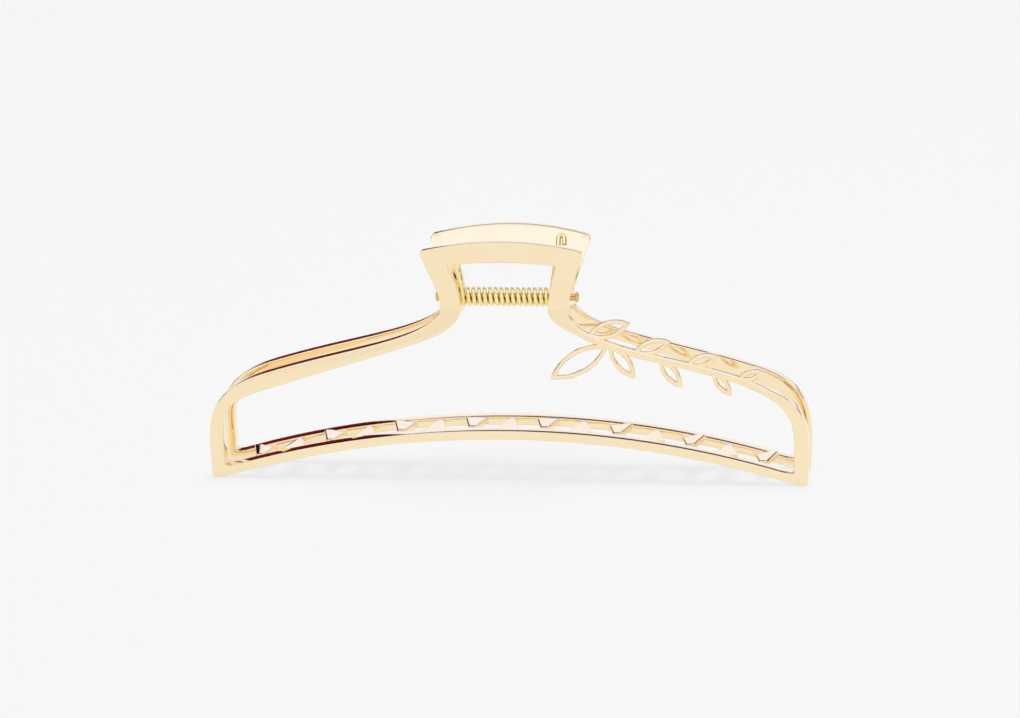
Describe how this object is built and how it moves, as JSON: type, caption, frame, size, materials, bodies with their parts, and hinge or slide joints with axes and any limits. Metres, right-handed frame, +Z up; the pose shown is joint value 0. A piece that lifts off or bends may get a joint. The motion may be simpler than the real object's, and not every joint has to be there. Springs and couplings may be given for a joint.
{
  "type": "claw hair clip",
  "caption": "Open-frame metal claw clip: two arched, toothed jaws on one hinge pin with a torsion spring and finger plates, one arm formed by an openwork leaf sprig.",
  "frame": {"origin": "on the table plane, midway along the clip and midway between the two jaws, under the hinge pin", "axes": "+X along the clip and its hinge pin, towards the end with the leaf sprig; +Y from the front jaw to the rear jaw; +Z up, from the jaws' ends to the finger plates"},
  "size_m": [0.116, 0.0184, 0.0478],
  "materials": {
    "jaw_gold": "polished pale gold plating",
    "sprig_gold": "polished pale gold plating",
    "pin_gold": "plated, with peened heads",
    "spring_gold": "gold-plated spring wire"
  },
  "bodies": {
    "rear_jaw": {"rear_jaw": "jaw_gold", "hinge_pin": "pin_gold", "torsion_spring": "spring_gold"},
    "front_jaw": {"front_jaw": "jaw_gold", "leaf_sprig": "sprig_gold"}
  },
  "joints": [
    {"name": "jaw_hinge", "type": "hinge", "parent": "rear_jaw", "child": "front_jaw", "pos_m": [0, 0, 0.0351], "axis": [-1, 0, 0], "range_deg": [0, 50], "stiffness_Nm_per_rad": 0.038, "springref_deg": -60.16, "deforming": ["torsion_spring"]}
  ]
}
